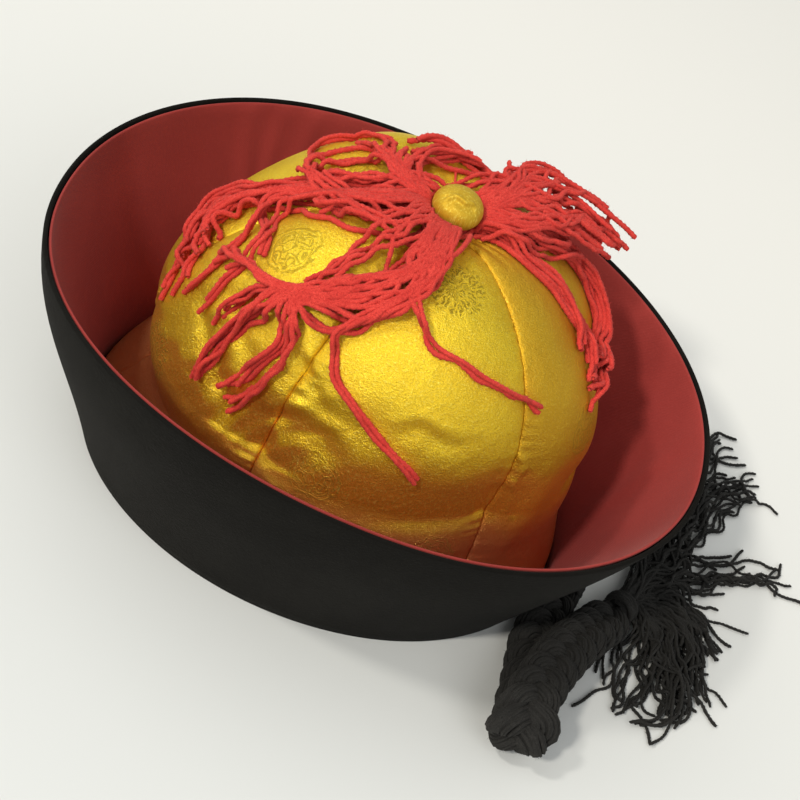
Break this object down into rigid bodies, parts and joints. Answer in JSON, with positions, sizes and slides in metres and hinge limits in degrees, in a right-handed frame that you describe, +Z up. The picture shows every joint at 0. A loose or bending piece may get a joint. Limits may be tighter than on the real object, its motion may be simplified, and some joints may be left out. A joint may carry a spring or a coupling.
{
  "type": "chinese court hat with a queue",
  "caption": "Court hat in the Chinese style: satin crown of sewn gores, upturned velvet brim lined in red, covered button, red yarn tassel and a black plaited queue.",
  "frame": {"origin": "middle of the base oval, on the surface that the hat rests on", "axes": "+Z up, +Y to the back of the hat and -Y to its front, +X to the wearer's left, where the queue folds out"},
  "size_m": [0.2418, 0.3523, 0.1515],
  "materials": {
    "black_velvet": "short black velvet pile, matt with a soft sheen",
    "red_cloth": "plain woven red cloth, matt",
    "gold_satin": "golden yellow satin brocade, glossy, with tone-on-tone round medallions",
    "red_yarn": "twisted red yarn, matt and slightly fluffy",
    "black_yarn": "twisted black yarn, matt"
  },
  "bodies": {
    "root": {"brim_shell": "black_velvet", "brim_lining": "red_cloth", "crown_gore_1": "gold_satin", "crown_gore_2": "gold_satin", "crown_gore_3": "gold_satin", "crown_gore_4": "gold_satin", "crown_gore_5": "gold_satin", "crown_gore_6": "gold_satin", "top_button": "gold_satin", "red_tassel": "red_yarn", "queue_root": "black_yarn", "queue_braid": "black_yarn", "queue_tie": "black_yarn", "queue_tassel": "black_yarn"}
  },
  "joints": []
}
